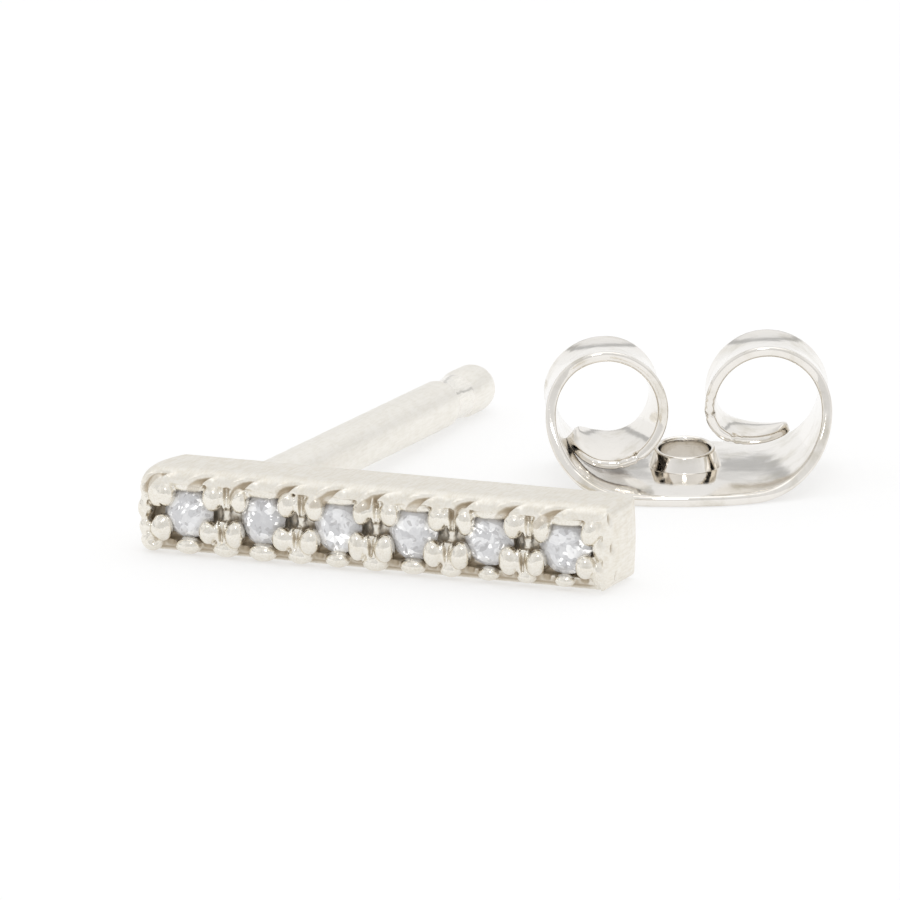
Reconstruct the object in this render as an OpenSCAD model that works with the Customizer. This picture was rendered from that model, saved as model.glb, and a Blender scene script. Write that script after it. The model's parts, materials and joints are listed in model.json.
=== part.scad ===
/* [Bar] */
// Length of the bar
bar_l = 8.8; // [7:0.1:14]
// Height of the bar's stone face
bar_h = 1.5; // [1.4:0.05:2]
// Depth of the bar from its stone face to its back
bar_d = 1.45; // [1.2:0.05:2]
// Bulge of the bar's left end, seen from above
left_bulge = 0.16; // [0.02:0.01:0.2]
// Bulge of the bar's right end, seen from above
right_bulge = 0.04; // [0.02:0.01:0.2]
// Rounding of the bar's two long back edges
back_edge_r = 0.1; // [0.05:0.01:0.2]
// Rounding of the left end's corners, seen from the stone face
left_corner_r = 0.28; // [0.1:0.01:0.35]
// Rounding of the right end's corners, seen from the stone face
right_corner_r = 0.16; // [0.1:0.01:0.35]
// Rounding of the bar's upright end edges at the back, seen from above
end_edge_r = 0.14; // [0.05:0.01:0.3]

/* [Stones] */
// Number of stones in the row
stone_count = 6; // [3:1:8]
// Girdle diameter of each stone
stone_d = 1; // [0.8:0.02:1.06]
// Distance between the centres of neighbouring stones
stone_pitch = 1.42; // [1.38:0.01:1.6]
// Depth of the stones' girdle below the stone face
stone_sink = 0.2; // [0.17:0.01:0.26]
// Gap between a stone and the metal that holds it
stone_gap = 0.02; // [0.01:0.005:0.03]

/* [Setting] */
// Depth of the channel between the two rims
channel_depth = 0.34; // [0.3:0.01:0.45]
// Thickness of the wall at each end of the channel
end_wall = 0.1; // [0.08:0.01:0.2]
// Diameter of the bead on top of each prong
bead_d = 0.37; // [0.3:0.01:0.4]
// Diameter of a prong's stem under its bead
stem_d = 0.32; // [0.2:0.01:0.34]
// How far a bead reaches in over its stone
bead_over = 0.13; // [0.08:0.005:0.16]
// Height of a bead above the stone face
bead_rise = 0.1; // [0.05:0.01:0.15]
// Angle of the prongs above and below the row's centre line
prong_angle = 34; // [30:1:45]
// Sideways lean of the upper prongs against the lower ones
prong_lean = 0.045; // [0:0.005:0.06]
// Width of the thin ribs that stand between two neighbouring prongs
rib_w = 0.12; // [0.08:0.01:0.14]
// Depth of the ribs' tops below the stone face
rib_sink = 0.12; // [0.08:0.01:0.2]
// Gap at mid-height between an upper and a lower rib
rib_gap = 0.22; // [0.1:0.01:0.4]
// Spacing of the notches filed along the upper rim
upper_notch_pitch = 0.83; // [0.6:0.01:1.2]
// Distance of the first notch from the left end
upper_notch_first = 0.43; // [0.3:0.01:0.6]
// Width of a notch in the upper rim
upper_notch_w = 0.22; // [0.1:0.01:0.3]
// Depth of a notch in the upper rim, measured in from the corner
upper_notch_depth = 0.1; // [0.05:0.01:0.14]
// Sideways slant of the upper notches
upper_notch_slant = 20; // [0:1:30]
// Width of a groove in the lower rim
lower_groove_w = 0.16; // [0.08:0.01:0.24]
// Width of a groove across the rim at the bar's left end
end_groove_w = 0.14; // [0.08:0.01:0.2]
// Diameter of the small hollow in the rim's lower left corner
corner_hollow_d = 0.14; // [0.08:0.01:0.16]

/* [Post] */
// Diameter of the post
post_d = 0.9; // [0.7:0.05:1]
// Length of the post from the bar's back to its rounded tip
post_l = 10.9; // [9:0.1:12]
// Distance of the post's axis from the bar's left end
post_from_end = 1.3; // [0.8:0.05:4]
// Distance from the tip to the near end of the nut's groove
groove_from_tip = 0.95; // [0.7:0.05:1.5]
// Length of the groove
groove_l = 1.1; // [0.6:0.05:1.5]
// Depth of the groove at its deep end
groove_depth = 0.06; // [0.03:0.01:0.1]
// Length of the short step at the groove's deep end
groove_step = 0.1; // [0.05:0.01:0.2]

/* [Ear nut] */
// Radial gap between the nut's hole and the post
nut_gap = 0.02; // [0.01:0.005:0.04]
// Thickness of the nut's metal strip
strip_t = 0.19; // [0.14:0.01:0.22]
// Depth of the nut's plate at its middle
plate_depth = 4.35; // [3.6:0.05:5]
// Width of the strip over the top of the left scroll
left_strip_w = 1.35; // [1:0.05:1.6]
// Half length of the plate's flat middle, left of the hole
left_flat = 1.13; // [1.1:0.01:1.4]
// Radius of the rising outer side, left
left_rise_r = 1.31; // [1.28:0.01:1.5]
// Radius of the scroll's top, left
left_top_r = 1.025; // [0.95:0.005:1.04]
// Radius of the tongue inside the scroll, left
left_tongue_r = 0.96; // [0.85:0.01:0.98]
// Width of the strip over the top of the right scroll
right_strip_w = 1.5; // [1:0.05:1.6]
// Half length of the plate's flat middle, right of the hole
right_flat = 1.19; // [1.15:0.01:1.4]
// Radius of the rising outer side, right
right_rise_r = 1.35; // [1.32:0.01:1.5]
// Radius of the scroll's top, right
right_top_r = 1.06; // [1:0.005:1.07]
// Radius of the bend from the scroll's top into the tongue, right
right_bend_r = 0.6; // [0.5:0.01:0.65]
// Radius of the tongue inside the scroll, right
right_tongue_r = 1.6; // [1.4:0.05:2]
// Rise of the plate's pressed dome round the hole
dome_h = 0.2; // [0.1:0.01:0.25]
// Radius of the dome
dome_r = 1.5; // [1.2:0.05:1.55]
// Height of the collar's rim above the dome
collar_h = 0.19; // [0.1:0.01:0.3]
// Wall of the collar at its rim
collar_rim = 0.08; // [0.04:0.01:0.1]
// Wall of the collar at its foot
collar_foot = 0.16; // [0.1:0.01:0.25]

/* [Layout] */
// Distance of the nut's hole to the right of the bar's middle
nut_right = 2.52; // [1:0.01:5]
// Distance of the nut's hole behind the bar's back
nut_behind = 7; // [4:0.1:10]
// Turn of the nut, seen from above
nut_turn = 23; // [0:1:45]

/* [Hidden] */
function stone_name(i) = str("stone_", i + 1);

// Reach of a cut past the face that it opens
over = 0.1;
curve_fn = 48;

// Stone proportions, as shares of the girdle diameter
table_share = 0.58;
crown_share = 0.15;
girdle_share = 0.03;
pavilion_share = 0.42;
// Radius of the points between table and girdle, and between culet and girdle
crown_mid_share = 0.4;
pavilion_mid_share = 0.2;
mains = 8;
half_step = 180 / mains;

stone_r = stone_d / 2;
table_r = stone_d * table_share / 2;
crown_h = stone_d * crown_share;
girdle_h = stone_d * girdle_share;
pavilion_h = stone_d * pavilion_share;

// Height of the point where planes through table and girdle meet at a radius, above the girdle
function crown_z(r) = girdle_h / 2 + crown_h * (stone_r - r * cos(half_step)) / (stone_r - table_r);
function pavilion_z(r) = -girdle_h / 2 - pavilion_h * (1 - r * cos(half_step) / stone_r);
function ring(r, z, count, first) =
    [for (i = [0:count - 1]) let (a = first + 360 * i / count) [r * cos(a), r * sin(a), z]];

// Setting
channel_h = stone_d + 2 * stone_gap;
rim_t = (bar_h - channel_h) / 2;
prong_r = stone_r + bead_d / 2 - bead_over;
prong_x = prong_r * cos(prong_angle);
prong_z = prong_r * sin(prong_angle);
first_stone_x = -stone_pitch * (stone_count - 1) / 2;
function stone_x(i) = first_stone_x + stone_pitch * i;
// The seat's pavilion cone is wider than the stone's by the gap
seat_r = stone_r + stone_gap;
// Long enough to run out through both faces of the corner
notch_run = 5 * upper_notch_depth;
// Heights of the grooves across the left end's rim, as shares of the bar's height
end_groove_heights = [0.39, 0.72];

// Post
post_r = post_d / 2;
post_x = post_from_end - bar_l / 2;
tip_centre_y = post_l - post_r;
// The groove's middle: share of the groove's length and share of its depth
groove_mid_run = 0.55;
groove_mid_depth = 0.6;

// Rest: the bar leans back until its rounded lower back edge and the post's tip both touch down
lean_run = tip_centre_y + back_edge_r;
lean_rise = bar_h / 2 - back_edge_r;
lean = atan2(lean_rise, lean_run) - asin((post_r - back_edge_r) / norm([lean_run, lean_rise]));
lean_lift = back_edge_r * (1 - sin(lean) - cos(lean));

// Nut
bore_r = post_r + nut_gap;
rest_angle = 90;
// Each arc of the strip's path: degrees turned, radius
left_arcs = [[rest_angle, left_rise_r], [2 * rest_angle, left_top_r], [143, left_tongue_r]];
right_arcs = [[rest_angle, right_rise_r], [2 * rest_angle, right_top_r], [75, right_bend_r],
              [37, right_tongue_r]];
TURN = 0;
RADIUS = 1;
flat_steps = 8;
arc_step = 8;
across = 8;

// One path point is its place along and up, its heading, and the length run so far
function arc_points(from, arc) =
    let (steps = ceil(arc[TURN] / arc_step), step = arc[TURN] / steps, r = arc[RADIUS],
         cx = from[0] - r * sin(from[2]), cz = from[1] + r * cos(from[2]))
    [for (i = [1:steps]) let (h = from[2] + step * i)
        [cx + r * sin(h), cz - r * cos(h), h, from[3] + r * step * i * PI / 180]];
function chain(points, arcs, i = 0) =
    i == len(arcs) ? points
                   : chain(concat(points, arc_points(points[len(points) - 1], arcs[i])), arcs, i + 1);
function half_path(flat_l, arcs) =
    chain([for (i = [0:flat_steps]) [flat_l * i / flat_steps, strip_t / 2, 0, flat_l * i / flat_steps]],
          arcs);
function mirrored(path) =
    [for (i = [len(path) - 1:-1:1]) let (p = path[i]) [-p[0], p[1], -p[2], -p[3]]];
right_path = half_path(right_flat, right_arcs);
left_path = half_path(left_flat, left_arcs);
path = concat(mirrored(left_path), right_path);

// The strip's form along its run: share of the run, share of the way from strip to plate width,
// share of the full thickness
SHARE = 0;
SPREAD = 1;
THICK = 2;
plate_form = [[0, 1, 1], [0.08, 0.97, 1], [0.12, 0.92, 1], [0.16, 0.84, 1], [0.22, 0.68, 1], [0.28, 0.5, 1],
              [0.34, 0.3, 1], [0.4, 0.13, 1], [0.46, 0.03, 1], [0.55, 0, 1], [0.75, 0, 1]];
left_form = concat(plate_form, [[0.85, 0.1, 0.9], [0.93, 0.1, 0.8], [0.97, -0.04, 0.7], [1, -0.28, 0.6]]);
right_form = concat(plate_form, [[0.86, -0.05, 0.9], [0.92, -0.16, 0.8], [0.96, -0.26, 0.7],
                                 [1, -0.42, 0.6]]);
function on_left(p) = p[3] < 0;
function share_at(p) =
    on_left(p) ? -p[3] / left_path[len(left_path) - 1][3] : p[3] / right_path[len(right_path) - 1][3];
function form_at(p, column) =
    lookup(share_at(p), [for (row = on_left(p) ? left_form : right_form) [row[SHARE], row[column]]]);
function width_at(p) =
    let (strip_w = on_left(p) ? left_strip_w : right_strip_w)
    strip_w + (plate_depth - strip_w) * form_at(p, SPREAD);
function dome_at(s, v) = dome_h * pow(max(0, 1 - (s * s + v * v) / (dome_r * dome_r)), 2);
// A point of the strip: v across it, side -1 underneath or 1 on top
function strip_point(p, v, side) =
    let (n = side * strip_t / 2 * form_at(p, THICK) + dome_at(p[3], v))
    [p[0] - n * sin(p[2]), v, p[1] + n * cos(p[2])];
function strip_section(p) =
    let (w = width_at(p))
    concat([for (k = [0:across]) strip_point(p, w * (k / across - 0.5), -1)],
           [for (k = [across:-1:0]) strip_point(p, w * (k / across - 0.5), 1)]);
nut_sections = [for (i = [0:len(path) - 1]) strip_section(path[i])];
nut_points = [for (section = nut_sections) each section];

// Middle of the base of the box round the stud and the nut as they lie
function turned(q) = [nut_right + q[0] * cos(nut_turn) - q[1] * sin(nut_turn),
                      nut_behind + q[0] * sin(nut_turn) + q[1] * cos(nut_turn)];
nut_plan = [for (q = nut_points) turned(q)];
bead_front = [for (side = [-1, 1])
    -(bar_d + bead_rise - bead_d / 2) * cos(lean) + (bar_h / 2 + side * prong_z) * sin(lean) - bead_d / 2];
box_left = -bar_l / 2 - left_bulge;
box_right = max([for (q = nut_plan) q[0]]);
box_front = min(bead_front);
box_back = max(tip_centre_y * cos(lean) + bar_h / 2 * sin(lean) + post_r, max([for (q = nut_plan) q[1]]));
centre_x = (box_left + box_right) / 2;
centre_y = (box_front + box_back) / 2;

// A closed skin over a run of flat sections: the first half of each runs out, the rest runs back
module skin(sections) {
    n = len(sections[0]);
    half = n / 2;
    last = (len(sections) - 1) * n;
    faces = concat(
        [for (k = [0:half - 2]) each [[k, k + 1, n - 1 - k], [k + 1, n - 2 - k, n - 1 - k]]],
        [for (s = [0:n:last - n], k = [0:n - 1])
            let (a = s + k, b = s + (k + 1) % n) each [[a, a + n, b + n], [a, b + n, b]]],
        [for (k = [0:half - 2]) each [[last + k, last + n - 1 - k, last + k + 1],
                                      [last + k + 1, last + n - 1 - k, last + n - 2 - k]]]);
    polyhedron([for (section = sections) each section], faces, convexity = 6);
}

// The stud's own frame: bar along X, stone face at -bar_d, back at 0, base at 0
module as_it_lies() {
    translate([-centre_x, -centre_y, lean_lift]) rotate([-lean, 0, 0]) children();
}

// A frame at a stone's girdle with +Z out of the stone face
module at_stone(i) {
    translate([stone_x(i), stone_sink - bar_d, bar_h / 2]) rotate([90, 0, 0]) children();
}

module rounded_rectangle(w, h, left_r, right_r) {
    translate([(left_r - right_r) / 2, 0]) square([w - left_r - right_r, h], center = true);
    for (end = [[-1, left_r], [1, right_r]]) {
        side = end[0];
        r = end[1];
        translate([side * (w / 2 - r), 0]) square([2 * r, h - 2 * r], center = true);
        for (y = [-1, 1])
            translate([side * (w / 2 - r), y * (h / 2 - r)]) circle(r, $fn = curve_fn);
    }
}

// Room inside a bulging end, seen from above: an arc through both corners of the end
module end_room(side, bulge) {
    r = (bar_d * bar_d / 4 + bulge * bulge) / (2 * bulge);
    arc_x = side * (bar_l / 2 + bulge - r);
    translate([0, 0, -over]) linear_extrude(bar_h + 2 * over) {
        translate([arc_x, -bar_d / 2]) circle(r, $fn = curve_fn);
        translate([arc_x - side * bar_l, -bar_d / 2]) square([2 * bar_l, 2 * bar_d], center = true);
    }
}

// The plain block: rounded long back edges, end corners and upright back edges, bulging ends
module bar_block() {
    full_l = bar_l + left_bulge + right_bulge;
    shift = (right_bulge - left_bulge) / 2;
    intersection() {
        translate([shift - full_l / 2, 0, 0]) rotate([90, 0, 90]) linear_extrude(full_l)
            translate([-bar_d, bar_h / 2]) rounded_rectangle(2 * bar_d, bar_h, back_edge_r, back_edge_r);
        translate([shift, over, bar_h / 2]) rotate([90, 0, 0]) linear_extrude(bar_d + over)
            rounded_rectangle(full_l, bar_h, left_corner_r, right_corner_r);
        translate([shift, -bar_d, -over]) linear_extrude(bar_h + 2 * over)
            rounded_rectangle(full_l, 2 * bar_d, end_edge_r, end_edge_r);
        end_room(-1, left_bulge);
        end_room(1, right_bulge);
    }
}

// The channel between the rims, open to the stone face
module channel() {
    translate([0, channel_depth / 2 - bar_d - over / 2, bar_h / 2])
        cube([bar_l - 2 * end_wall, channel_depth + over, channel_h], center = true);
}

// Round notches filed across the corner of the upper rim
module upper_notches() {
    for (x = [upper_notch_first:upper_notch_pitch:bar_l])
        translate([x - bar_l / 2, -bar_d, bar_h]) rotate([0, upper_notch_slant, 0]) rotate([45, 0, 0])
            translate([0, 0, upper_notch_w / 2 - upper_notch_depth]) rotate([90, 0, 0])
                cylinder(d = upper_notch_w, h = notch_run, center = true, $fn = curve_fn);
}

// Grooves that part the lower rim into lobes, one under each stone and one between
module lower_grooves() {
    for (i = [0:stone_count - 1], side = [-1, 1])
        translate([stone_x(i) + side * stone_pitch / 4, -bar_d, -over])
            cylinder(d = lower_groove_w, h = rim_t + 2 * over, $fn = curve_fn);
}

// Grooves across the rim at the left end, and the small hollow in its lower corner
module end_grooves() {
    for (share = end_groove_heights)
        translate([-bar_l / 2 - over, -bar_d, bar_h * share]) rotate([0, 90, 0])
            cylinder(d = end_groove_w, h = end_wall + 2 * over, $fn = curve_fn);
    translate([end_wall + corner_hollow_d - bar_l / 2, corner_hollow_d / 2 - bar_d, rim_t / 2])
        rotate([90, 0, 0]) cylinder(d = corner_hollow_d, h = corner_hollow_d, $fn = curve_fn);
}

module prong(side_x, side_z) {
    x = side_x * prong_x + side_z * prong_lean;
    bead_y = bead_d / 2 - bead_rise - bar_d;
    translate([x, bead_y, side_z * prong_z]) {
        sphere(d = bead_d, $fn = curve_fn);
        rotate([-90, 0, 0])
            cylinder(d = stem_d, h = channel_depth + bead_rise - bead_d / 2 + over, $fn = curve_fn);
    }
}

// Two thin ribs between neighbouring stones, one from each rim, standing on the channel's floor
module rib_pair() {
    for (side = [-1, 1])
        translate([side * prong_lean, (channel_depth + rib_sink + over) / 2 - bar_d,
                   side * (channel_h + rib_gap + 2 * over) / 4])
            cube([rib_w, channel_depth - rib_sink + over, (channel_h - rib_gap) / 2 + over],
                 center = true);
}

// The room that a stone and its gap take out of the metal
module stone_room() {
    translate([0, 0, girdle_h / 2])
        cylinder(r1 = seat_r, r2 = table_r + stone_gap, h = crown_h + stone_gap, $fn = curve_fn);
    cylinder(r = seat_r, h = girdle_h, center = true, $fn = curve_fn);
    translate([0, 0, -girdle_h / 2]) rotate([180, 0, 0])
        cylinder(r1 = seat_r, r2 = stone_gap, h = pavilion_h + stone_gap, $fn = curve_fn);
}

// The post with its groove and its round tip, along +Z from the bar's back
module post() {
    groove_end = post_l - groove_from_tip;
    groove_start = groove_end - groove_l;
    rotate_extrude($fn = curve_fn) polygon([
        [0, -over], [post_r, -over], [post_r, groove_start],
        [post_r - groove_depth, groove_start + groove_step],
        [post_r - groove_depth * groove_mid_depth, groove_start + groove_l * groove_mid_run],
        [post_r, groove_end], [post_r, tip_centre_y], [0, tip_centre_y]]);
    translate([0, 0, tip_centre_y]) sphere(r = post_r, $fn = curve_fn);
}

module bar_and_post() {
    color("silver") as_it_lies() difference() {
        union() {
            difference() {
                bar_block();
                channel();
                upper_notches();
                lower_grooves();
                end_grooves();
            }
            for (i = [0:stone_count - 1], sx = [-1, 1], sz = [-1, 1])
                translate([stone_x(i), 0, bar_h / 2]) prong(sx, sz);
            for (i = [1:stone_count - 1])
                translate([stone_x(i) - stone_pitch / 2, 0, bar_h / 2]) rib_pair();
            translate([post_x, 0, bar_h / 2]) rotate([-90, 0, 0]) post();
        }
        for (i = [0:stone_count - 1]) at_stone(i) stone_room();
    }
}

// A round brilliant: table, eight crown mains with stars and halves, girdle, eight pavilion mains
module cut_stone() {
    rings = [ring(table_r, girdle_h / 2 + crown_h, mains, 0),
             ring(stone_d * crown_mid_share, crown_z(stone_d * crown_mid_share), mains, half_step),
             ring(stone_r, girdle_h / 2, 2 * mains, 0),
             ring(stone_r, -girdle_h / 2, 2 * mains, 0),
             ring(stone_d * pavilion_mid_share, pavilion_z(stone_d * pavilion_mid_share), mains, half_step),
             [[0, 0, -girdle_h / 2 - pavilion_h]]];
    crown_mid = mains;
    top = 2 * mains;
    bottom = 4 * mains;
    pavilion_mid = 6 * mains;
    culet = 7 * mains;
    faces = concat(
        [[for (k = [mains - 1:-1:0]) k]],
        [for (k = [0:mains - 1]) [k, (k + 1) % mains, crown_mid + k]],
        [for (k = [0:mains - 1]) [k, crown_mid + k, top + 2 * k, crown_mid + (k + mains - 1) % mains]],
        [for (k = [0:mains - 1]) [crown_mid + k, top + 2 * k + 1, top + 2 * k]],
        [for (k = [0:mains - 1]) [crown_mid + k, top + (2 * k + 2) % (2 * mains), top + 2 * k + 1]],
        [for (k = [0:2 * mains - 1]) let (next = (k + 1) % (2 * mains))
            [top + k, top + next, bottom + next, bottom + k]],
        [for (k = [0:mains - 1]) [pavilion_mid + k, bottom + 2 * k, bottom + 2 * k + 1]],
        [for (k = [0:mains - 1])
            [pavilion_mid + k, bottom + 2 * k + 1, bottom + (2 * k + 2) % (2 * mains)]],
        [for (k = [0:mains - 1])
            [culet, pavilion_mid + (k + mains - 1) % mains, bottom + 2 * k, pavilion_mid + k]]);
    polyhedron([for (r = rings) each r], faces, convexity = 2);
}

module stone(i) {
    color("lightsteelblue") as_it_lies() at_stone(i) cut_stone();
}

// The friction nut: a strip with a wide plate, rolled into a scroll at each end
module ear_nut() {
    collar_foot_r = bore_r + collar_foot;
    collar_top = strip_t + dome_h + collar_h;
    color("gainsboro") translate([nut_right - centre_x, nut_behind - centre_y, 0]) rotate([0, 0, nut_turn])
        difference() {
            union() {
                skin(nut_sections);
                translate([0, 0, strip_t / 2 + dome_h])
                    cylinder(r1 = collar_foot_r, r2 = bore_r + collar_rim,
                             h = collar_top - strip_t / 2 - dome_h, $fn = curve_fn);
            }
            translate([0, 0, -over]) cylinder(r = bore_r, h = collar_top + 2 * over, $fn = curve_fn);
        }
}

bar_and_post();
for (i = [0:stone_count - 1])
    stone(i);
ear_nut();
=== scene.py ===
import json
import math
import random
from contextlib import contextmanager

import bmesh
import bpy
import numpy as np
from mathutils import Matrix, Vector, noise
from mathutils.bvhtree import BVHTree


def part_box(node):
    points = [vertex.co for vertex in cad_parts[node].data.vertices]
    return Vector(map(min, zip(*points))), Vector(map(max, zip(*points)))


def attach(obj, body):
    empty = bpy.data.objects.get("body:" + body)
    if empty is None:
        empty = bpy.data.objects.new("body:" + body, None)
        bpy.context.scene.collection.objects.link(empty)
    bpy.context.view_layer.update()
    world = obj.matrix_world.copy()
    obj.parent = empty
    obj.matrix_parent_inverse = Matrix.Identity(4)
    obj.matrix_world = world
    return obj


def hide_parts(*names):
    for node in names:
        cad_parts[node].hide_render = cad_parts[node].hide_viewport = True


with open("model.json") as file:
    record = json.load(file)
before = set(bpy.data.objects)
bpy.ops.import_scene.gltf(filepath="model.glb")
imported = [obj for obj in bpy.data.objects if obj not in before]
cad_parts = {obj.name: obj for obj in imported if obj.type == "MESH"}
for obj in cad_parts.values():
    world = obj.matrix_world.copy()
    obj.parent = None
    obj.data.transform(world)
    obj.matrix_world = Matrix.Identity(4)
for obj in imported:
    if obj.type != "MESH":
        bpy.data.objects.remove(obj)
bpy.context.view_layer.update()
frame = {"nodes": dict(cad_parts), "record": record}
mm = 0.001
print("frame loaded")


# Shader and geometry node graphs: a Wire is one socket, and sums on wires add Math nodes
def mathNode(operation, reflected=False):
    def add(self, other):
        first, second = (other, self) if reflected else (self, other)
        return self.graph.add("ShaderNodeMath", {"operation": operation}, {0: first, 1: second})
    return add


class Wire:
    __add__, __radd__ = mathNode("ADD"), mathNode("ADD", True)
    __sub__, __rsub__ = mathNode("SUBTRACT"), mathNode("SUBTRACT", True)
    __mul__, __rmul__ = mathNode("MULTIPLY"), mathNode("MULTIPLY", True)
    __truediv__, __rtruediv__ = mathNode("DIVIDE"), mathNode("DIVIDE", True)

    def __init__(self, graph, socket):
        self.graph = graph
        self.socket = socket

    def clamped(self):
        return self.graph.add("ShaderNodeClamp", {}, {"Value": self})


class Graph:
    def __init__(self, tree):
        self.tree = tree

    # kind of node, settings set first, then the values or wires of its sockets
    def add(self, kind, settings, sockets, out=0):
        node = self.tree.nodes.new(kind)
        for name, value in settings.items():
            if name == "stops":
                ramp = node.color_ramp
                while len(ramp.elements) < len(value):
                    ramp.elements.new(0.5)
                for element, (place, colour) in zip(ramp.elements, value):
                    element.position = place
                    element.color = (*colour, 1.0)
            else:
                setattr(node, name, value)
        self.feed(node, sockets)
        return Wire(self, node.outputs[out]) if node.outputs else node

    def feed(self, node, sockets):
        for name, value in sockets.items():
            for part in value if isinstance(value, list) else [value]:
                if isinstance(part, Wire):
                    self.tree.links.new(part.socket, node.inputs[name])
                else:
                    node.inputs[name].default_value = part

    def shade(self, sockets):
        self.feed(self.tree.nodes["Principled BSDF"], sockets)

    def colourMix(self, factor, first, second, blend="MIX"):
        settings = {"data_type": "RGBA", "blend_type": blend}
        return self.add("ShaderNodeMix", settings, {0: factor, 6: first, 7: second}, 2)

    def scaled(self, vector, scale):
        return self.add("ShaderNodeVectorMath", {"operation": "MULTIPLY"}, {0: vector, 1: scale})

    def span(self, value, low, high, toLow=0.0, toHigh=1.0):
        settings = {"interpolation_type": "SMOOTHSTEP"}
        return self.add("ShaderNodeMapRange", settings,
                        {"Value": value, "From Min": low, "From Max": high, "To Min": toLow, "To Max": toHigh})

    def dot(self, first, second):
        return self.add("ShaderNodeVectorMath", {"operation": "DOT_PRODUCT"}, {0: first, 1: second}, "Value")

    def xyz(self, x=0.0, y=0.0, z=0.0):
        return self.add("ShaderNodeCombineXYZ", {}, {"X": x, "Y": y, "Z": z})

    def ball(self, fineness):
        return self.add("GeometryNodeMeshIcoSphere", {}, {"Radius": 1.0, "Subdivisions": fineness}, "Mesh")

    def mark(self, name):
        return self.add("ShaderNodeAttribute", {"attribute_name": name}, {}, "Fac")

    def clouds(self, where, scale, detail, roughness=0.5, out=0):
        return self.add("ShaderNodeTexNoise", {}, {"Vector": where, "Scale": scale, "Detail": detail,
                                                   "Roughness": roughness}, out)

    # one flat grey for each cell of a broken pattern
    def cells(self, where, scale):
        greys = self.add("ShaderNodeTexVoronoi", {}, {"Vector": where, "Scale": scale}, "Color")
        return self.add("ShaderNodeSeparateColor", {}, {"Color": greys}, "Red")

    def bump(self, strength, depth, height):
        return self.add("ShaderNodeBump", {}, {"Strength": strength, "Distance": depth * mm, "Height": height})


def colour(r, g, b):
    return (r, g, b, 1.0)


def newMaterial(name):
    material = bpy.data.materials.new(name)
    material.use_nodes = True
    graph = Graph(material.node_tree)
    where = graph.add("ShaderNodeTexCoord", {}, {}, "Object")
    return material, graph, graph.scaled(where, (1 / mm, 1 / mm, 1 / mm))


# Satin white gold: filing marks across the bar, mottling, polished beads, and painted shade with some oxide in
# the crevices
satin = {
    "metal": colour(0.89, 0.86, 0.795),
    "warm": colour(0.81, 0.765, 0.675),
    # the post's colours are a lighter copy of the bar's metal: painted light
    "postLitMetal": colour(0.93, 0.905, 0.85),
    "postLitWarm": colour(0.87, 0.84, 0.775),
    "shadeAndPatina": colour(0.50, 0.42, 0.31),
    "grainAcross": (30.0, 3.4, 30.0),
    "mottleScale": 5.0,
    "pitScale": 17.0,
    "warmSpan": (0.38, 0.66),
    "hollowSpan": (0.12, 0.95),
    "creviceSpan": (0.3, 0.74),
    "dulled": 0.75,
    "satinRoughness": 0.4,
    "beadRoughness": 0.16,
    "bumpDepth": 0.008,
}


def satinMetal(name, metal, warm):
    material, graph, where = newMaterial(name)
    grain = graph.clouds(graph.scaled(where, satin["grainAcross"]), 1.0, 4.0, 0.6)
    mottle = graph.clouds(where, satin["mottleScale"], 5.0, 0.65)
    pits = graph.clouds(where, satin["pitScale"], 3.0)
    base = graph.colourMix(graph.span(mottle * 0.45 + grain * 0.55, *satin["warmSpan"]), metal, warm)
    # painted shade, with some oxide: darker, less metallic colour where the crevice and hollow marks find the
    # surface shut in
    shadeMask = graph.mark("crevice") + (mottle - 0.5) * 0.3
    sunk = graph.span(graph.mark("hollow"), *satin["hollowSpan"]) + graph.span(shadeMask, *satin["creviceSpan"])
    sunk = sunk.clamped()
    base = graph.colourMix(sunk, base, satin["shadeAndPatina"])
    polish = graph.mark("polish")
    rough = satin["satinRoughness"] + (grain - 0.5) * 0.3 + (mottle - 0.5) * 0.12
    rough = rough - polish * (satin["satinRoughness"] - satin["beadRoughness"])
    height = (grain * 0.6 + pits * 0.5) * (1.0 - polish * 0.7)
    graph.shade({
        "Base Color": base, "Metallic": 1.0 - sunk * satin["dulled"], "Roughness": rough.clamped(),
        "Normal": graph.bump(0.5, satin["bumpDepth"], height)})
    return material


# Polished white gold of the nut, with cloudy tarnish, fine scratches and painted shade in the crevices
polished = {
    "metal": colour(0.87, 0.84, 0.795),
    "tarnish": colour(0.70, 0.66, 0.58),
    "dark": colour(0.26, 0.21, 0.155),
    "cloudScale": 1.6,
    "scratchesAcross": (4.0, 40.0, 40.0),
    "tarnishSpan": (0.45, 0.75),
    "hollowSpan": (0.3, 1.2),
    "creviceSpan": (0.64, 0.97),
    "dulled": 0.4,
    "roughness": 0.07,
    "bumpDepth": 0.004,
}


def polishedMetal():
    material, graph, where = newMaterial("polishedMetal")
    cloud = graph.clouds(where, polished["cloudScale"], 4.0, 0.6)
    scratches = graph.clouds(graph.scaled(where, polished["scratchesAcross"]), 1.0, 3.0)
    base = graph.colourMix(graph.span(cloud, *polished["tarnishSpan"]), polished["metal"], polished["tarnish"])
    # painted shade: dark, less metallic colour in the nut's crevices and hollows
    deep = graph.span(graph.mark("crevice"), *polished["creviceSpan"]) * 0.8
    sunk = (graph.span(graph.mark("hollow"), *polished["hollowSpan"]) + deep).clamped()
    base = graph.colourMix(sunk, base, polished["dark"])
    rough = polished["roughness"] + (cloud - 0.4) * 0.12 + (scratches - 0.5) * 0.08
    graph.shade({
        "Base Color": base, "Metallic": 1.0 - sunk * polished["dulled"], "Roughness": rough.clamped(),
        "Normal": graph.bump(0.25, polished["bumpDepth"], scratches * 0.5 + cloud)})
    return material


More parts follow.
